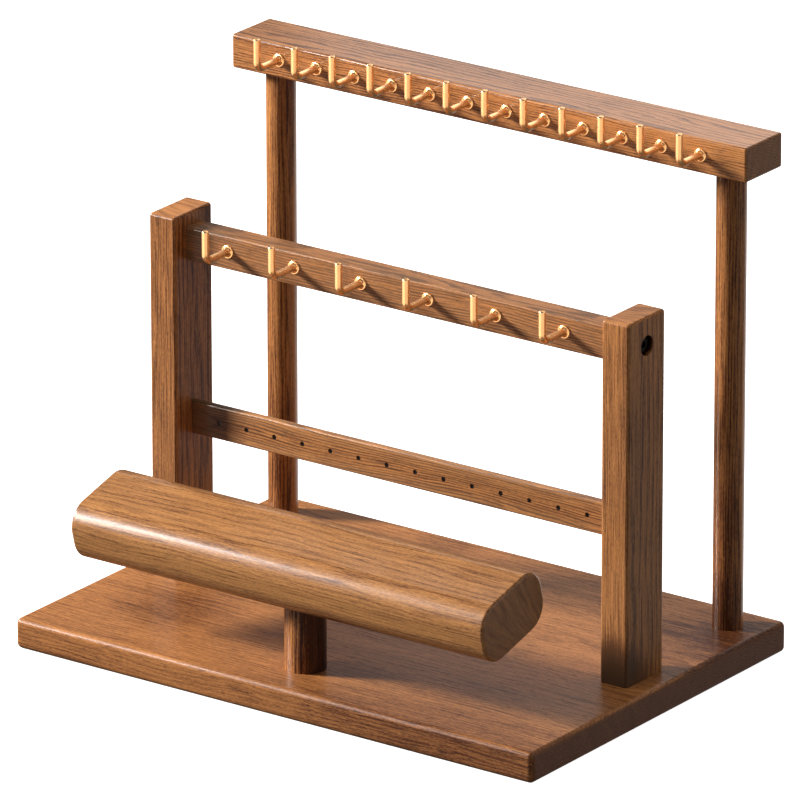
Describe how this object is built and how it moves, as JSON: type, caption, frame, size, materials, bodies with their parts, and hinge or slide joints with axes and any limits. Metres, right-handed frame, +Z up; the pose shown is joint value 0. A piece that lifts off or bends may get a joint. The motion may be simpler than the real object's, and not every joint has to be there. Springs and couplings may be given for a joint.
{
  "type": "jewelry stand",
  "caption": "Wooden jewellery stand: flat base, tall and low bars of brass hooks for necklaces, a drilled earring rail and a tilted wooden roll for bracelets.",
  "frame": {"origin": "middle of the base board's underside", "axes": "+X along the bars, to the right as seen from the front; +Y from the bracelet roll in front to the tall bar behind; +Z up"},
  "size_m": [0.3, 0.21, 0.2685],
  "materials": {
    "stained_wood": "open-pored hardwood, mid-brown stain under satin lacquer",
    "gilt_brass": "polished, gold-toned",
    "black_steel": "black oxide, semi-gloss"
  },
  "bodies": {
    "root": {"base_board": "stained_wood", "rear_left_rod": "stained_wood", "rear_right_rod": "stained_wood", "rear_bar": "stained_wood", "front_left_post": "stained_wood", "front_right_post": "stained_wood", "front_bar": "stained_wood", "earring_rail": "stained_wood", "roll_stub": "stained_wood", "bracelet_roll": "stained_wood", "rear_hook_01": "gilt_brass", "rear_hook_02": "gilt_brass", "rear_hook_03": "gilt_brass", "rear_hook_04": "gilt_brass", "rear_hook_05": "gilt_brass", "rear_hook_06": "gilt_brass", "rear_hook_07": "gilt_brass", "rear_hook_08": "gilt_brass", "rear_hook_09": "gilt_brass", "rear_hook_10": "gilt_brass", "rear_hook_11": "gilt_brass", "rear_hook_12": "gilt_brass", "front_hook_01": "gilt_brass", "front_hook_02": "gilt_brass", "front_hook_03": "gilt_brass", "front_hook_04": "gilt_brass", "front_hook_05": "gilt_brass", "front_hook_06": "gilt_brass", "assembly_screws": "black_steel"}
  },
  "joints": []
}
